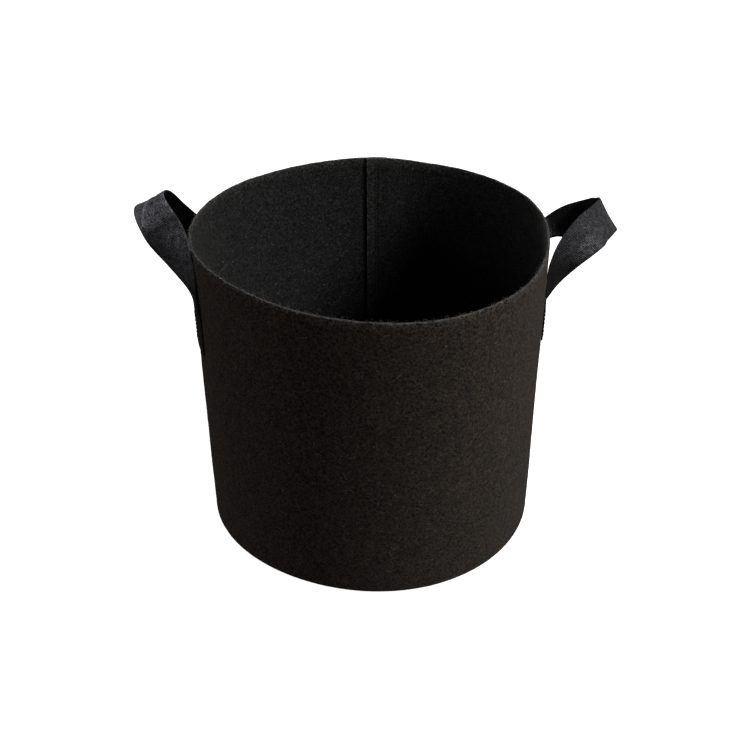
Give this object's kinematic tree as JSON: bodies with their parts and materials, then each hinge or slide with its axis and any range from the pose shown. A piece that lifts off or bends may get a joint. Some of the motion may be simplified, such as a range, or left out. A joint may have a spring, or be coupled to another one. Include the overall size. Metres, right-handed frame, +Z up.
{
  "type": "fabric grow bag",
  "caption": "Round, slightly tapered black felt planting bag with an open top, a sewn-in base and two webbing carry handles.",
  "frame": {"origin": "centre of the base's underside, on the floor", "axes": "+Z up along the bag's axis; +X towards the right handle, 5 degrees off its middle; the lapped seam is near +Y"},
  "size_m": [0.4755, 0.35, 0.3433],
  "materials": {
    "felt": "matte needle-punched felt",
    "webbing": "ribbed polypropylene webbing, slight sheen",
    "thread": "bonded polyester thread"
  },
  "bodies": {
    "bag": {"side_wall": "felt", "base_panel": "felt", "side_seam_stitches": "thread", "base_seam_thread": "thread", "left_front_leg": "webbing", "left_front_leg_stitches": "thread", "left_rear_leg": "webbing", "left_rear_leg_stitches": "thread", "right_front_leg": "webbing", "right_front_leg_stitches": "thread", "right_rear_leg": "webbing", "right_rear_leg_stitches": "thread"},
    "left_handle": {"left_handle_loop": "webbing"},
    "right_handle": {"right_handle_loop": "webbing"}
  },
  "joints": [
    {"name": "left_handle_swing", "type": "hinge", "parent": "bag", "child": "left_handle", "pos_m": [-0.1724, 0.01508, 0.265], "axis": [-0.0872, -0.9962, 0], "range_deg": [-23, 109]},
    {"name": "right_handle_swing", "type": "hinge", "parent": "bag", "child": "right_handle", "pos_m": [0.1724, 0.01508, 0.265], "axis": [-0.0872, 0.9962, 0], "range_deg": [-56, 74]}
  ]
}
